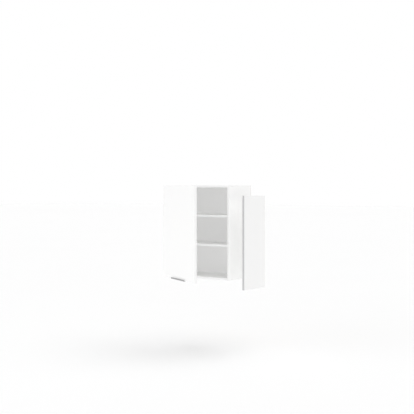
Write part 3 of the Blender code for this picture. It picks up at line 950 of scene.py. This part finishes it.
def hinge_screws(word):
    """The two screws in the cup's ears, and the two in the plate's wings."""
    for spot in ("above", "below"):
        node = f"cup_screw_{word}_{spot}"
        low, high = shut_box(node)
        middle = (low + high) / 2
        screw = cross_head(PAN_SCREW, PAN_CROSS, (middle.x, high.y - PAN_HEAD, middle.z), (0, 1, 0))
        door_piece(f"{word}_cup_{spot}_screw", screw, (zinc,), (node,), smooth=35)
        node = f"plate_screw_{word}_{spot}"
        low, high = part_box(node)
        middle = (low + high) / 2
        screw = cross_head(PAN_SCREW, PAN_CROSS, (high.x - PAN_HEAD, middle.y, middle.z), (1, 0, 0))
        make_piece(f"{word}_plate_{spot}_screw", screw, "cabinet", (zinc,), (node,), smooth=35)


LINK_HALF = 0.0010
LINK_EYE = 0.0022
LINK_BEND = 0.0034
LINK_LEG = 0.011
LINK_HALF_WIDTH = 0.0035
ARM_START = 0.020
ARM_SHORTER = 0.002
ARM_OFF_LINK = 0.0002
ARM_ROUND = 0.0013
NOSE_WIDTH_SHARE = 0.62
NOSE_DROP = 0.0022
NOSE_SLOPE = 0.0030
GROOVE_DEPTH = 0.0010
GROOVE_HALF = 0.0019
GROOVE_FROM_END = 0.0025
GROOVE_TO_END = 0.0185
ADJUSTER_REACH = 0.003


def hinge_link(level, end):
    """The link: an eye around the cup's pin, then a bend towards the wall and a leg inside the arm."""
    leg_in, leg_out = pivot.x + LINK_LEG, pivot.x + LINK_LEG + 2 * LINK_HALF
    start = math.degrees(math.asin(LINK_HALF / LINK_EYE))
    outline = arc((pivot.x, pivot.y), LINK_EYE, start, 360 - start, 20)
    bend = (leg_out - LINK_BEND, pivot.y - LINK_HALF + LINK_BEND)
    outline += arc(bend, LINK_BEND, -90, 0, 8)
    outline += [(leg_out, end), (leg_in, end)]
    outline += arc(bend, LINK_BEND - 2 * LINK_HALF, 0, -90, 6)
    return strip_outline(outline, level - LINK_HALF_WIDTH, level + LINK_HALF_WIDTH, 2)


def hinge_arm(word):
    """The pressed arm with its tapered nose and grooved tail, the link in it and the two adjusters on it."""
    node = f"hinge_arm_{word}"
    low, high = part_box(node)
    level = (low.z + high.z) / 2
    arm_low = Vector((pivot.x + LINK_LEG + ARM_OFF_LINK, pivot.y + ARM_START, low.z))
    channel = box_between(arm_low, Vector((high.x, high.y - ARM_SHORTER, high.z)))
    for vert in channel.verts:
        if vert.co.y < arm_low.y + 1e-6:
            vert.co.z = level + (vert.co.z - level) * NOSE_WIDTH_SHARE
            if vert.co.x > high.x - 1e-6:
                vert.co.x -= NOSE_DROP
                vert.co.y += NOSE_SLOPE
    eased(channel, list(channel.edges), ARM_ROUND, 4)
    groove = box_between(
        Vector((high.x - GROOVE_DEPTH, high.y - GROOVE_TO_END, level - GROOVE_HALF)),
        Vector((high.x + PROUD, high.y - GROOVE_FROM_END, level + GROOVE_HALF)),
    )
    arm = joined([hinge_link(level, high.y), cut(channel, [groove], 0)])
    make_piece(f"{word}_hinge_arm", arm, "cabinet", (hinge_nickel,), (node,), smooth=35)
    for name, from_end, sunk in (("side", 0.034, 0.0004), ("depth", 0.013, 0.0006)):
        seat = Vector((high.x - sunk, high.y - from_end, level))
        screw = cross_head(PAN_SCREW, PAN_CROSS, seat, (1, 0, 0))
        for vert in screw.verts:
            vert.co.x = max(vert.co.x, seat.x - ADJUSTER_REACH)
        make_piece(f"{word}_hinge_{name}_adjuster", screw, "cabinet", (zinc,), smooth=35)


PLATE_HALF = 0.006
PLATE_CORNER = 0.0015
WINGS_FROM_FRONT = 0.016
WINGS_THICKNESS = 0.0018
WINGS_CORNER = 0.0045


def hinge_plate(word):
    """The mounting plate: a block along the arm, and two rounded wings for its screws."""
    node = f"hinge_plate_{word}"
    low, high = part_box(node)
    level = (low.z + high.z) / 2
    block = box_between(
        Vector((low.x, low.y, level - PLATE_HALF)), Vector((high.x, high.y, level + PLATE_HALF))
    )
    eased(block, edges_along(block, 0), PLATE_CORNER, 4)
    middle = low.y + WINGS_FROM_FRONT
    wings = box_between(
        Vector((low.x, middle - PLATE_HALF, low.z)),
        Vector((low.x + WINGS_THICKNESS, middle + PLATE_HALF, high.z)),
    )
    eased(wings, edges_along(wings, 0), WINGS_CORNER, 6)
    plate = joined([block, wings])
    make_piece(f"{word}_hinge_plate", plate, "cabinet", (hinge_nickel,), (node,), smooth=35)


for word in ("upper", "lower"):
    hinge_cup(word)
    hinge_arm(word)
    hinge_plate(word)
    hinge_screws(word)


# ---- Edge pull ----
# A bent aluminium section, satin anodised and brushed along its length. Its flange is screwed behind
# the door, its web passes under the lower edge, and its lip stands before the face to be pulled.

PULL_METAL = 0.0018
PULL_LIP = 0.010
PULL_ROUND = 0.0007
PULL_END_ARRIS = 0.00015
PULL_SINK_R = 0.0032
PULL_SINK = 0.0012
PULL_SCREW = [
    (0.0, -0.0095), (0.0014, -0.0075), (0.0014, -0.0011), (0.0030, -0.0009), (0.0030, 0.0), (0.0, 0.0),
]
PULL_CROSS = (0.0017, 0.0007, 0.0007)


def brushed_aluminium(name):
    """Anodised aluminium with fine strokes along its length, which lie in its tone, gloss and relief."""
    made, place = new_finish(name)
    along = place.aligned(opening, (6.0, 1400.0, 1400.0))
    strokes = along.noise(1.0, 3.0, 0.6)
    cloud = place.noise(25.0)
    return feed(
        made,
        colour=(0.7 * strokes + 0.3 * cloud).between((0.36, 0.36, 0.365), (0.50, 0.50, 0.505)),
        roughness=0.34 + 0.16 * strokes,
        metallic=1.0 - 0.04 * cloud,
        height=strokes,
        depth=0.00002,
    )


aluminium = brushed_aluminium("satin_brushed_aluminium")
low, high = shut_box("door_handle")
back_in = high.y - PULL_METAL
web_top = low.z + PULL_METAL
lip_in = low.y + PULL_METAL
section = [
    (high.y, low.z), (high.y, high.z), (back_in, high.z), (back_in, web_top), (lip_in, web_top),
    (lip_in, low.z + PULL_LIP), (low.y, low.z + PULL_LIP), (low.y, low.z),
]
pull = strip_outline(section, low.x, high.x, 0)
eased(pull, edges_along(pull, 0), PULL_ROUND, 4)
ends = [e for e in pull.edges if abs(e.verts[0].co.x - e.verts[1].co.x) < 1e-7]
eased(pull, ends, PULL_END_ARRIS, 1)
bits = []
for word in ("left", "right"):
    screw_low, screw_high = shut_box(f"handle_screw_{word}")
    middle = (screw_low + screw_high) / 2
    bits.append(drill(PULL_SINK_R, (middle.x, high.y, middle.z), (0, -1, 0), PULL_SINK))
pull = cut(pull, bits, 0)
door_piece("door_edge_pull", pull, (aluminium,), ("door_handle",), smooth=35)
for word in ("left", "right"):
    node = f"handle_screw_{word}"
    screw_low, screw_high = shut_box(node)
    middle = (screw_low + screw_high) / 2
    screw = cross_head(PULL_SCREW, PULL_CROSS, (middle.x, screw_high.y, middle.z), (0, 1, 0))
    door_piece(f"{word}_pull_screw", screw, (zinc,), (node,), smooth=35)


# ---- Loose cover panel ----
# A finished panel that is offered up to the right side last of all. White outside and in, with a grey
# band along the front edge, white bands at the top and bottom, and a raw edge towards the wall.

GLUE_LINE = 0.00002

cover_white = melamine("cover_white_melamine", (0.858, 0.858, 0.855), 0.000014, 0.40)
grey_band, place = new_finish("cover_grey_edge_band", specular_ior_level=0.45)
feed(
    grey_band,
    colour=place.noise(40.0, 3.0).between((0.510, 0.510, 0.520), (0.535, 0.535, 0.545)),
    roughness=0.42 + 0.1 * place.noise(600.0),
    height=place.noise(1500.0),
    depth=0.00001,
)
low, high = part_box("cover_panel")
trim = Vector((0.0, 0.0, BAND))
core = board_core(low + trim, high - trim, 0)
make_piece(
    "cover_board", core, "cover_panel_loose", (cover_white, raw_board), ("cover_panel",)
)
for word, side in (("top", 1), ("bottom", -1)):
    face = high.z if side > 0 else low.z
    inner = face - side * BAND
    strip = edge_band(
        Vector((low.x, low.y, min(face, inner))), Vector((high.x, high.y, max(face, inner))), (2, side), 1
    )
    make_piece(
        f"cover_{word}_band", strip, "cover_panel_loose", (band_white,), smooth=50
    )
band_low, band_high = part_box("cover_panel_edge_band")
strip = edge_band(band_low, Vector((band_high.x, low.y - GLUE_LINE, band_high.z)), (1, -1), 2)
make_piece(
    "cover_front_grey_band", strip, "cover_panel_loose", (grey_band,),
    ("cover_panel_edge_band",), smooth=50,
)
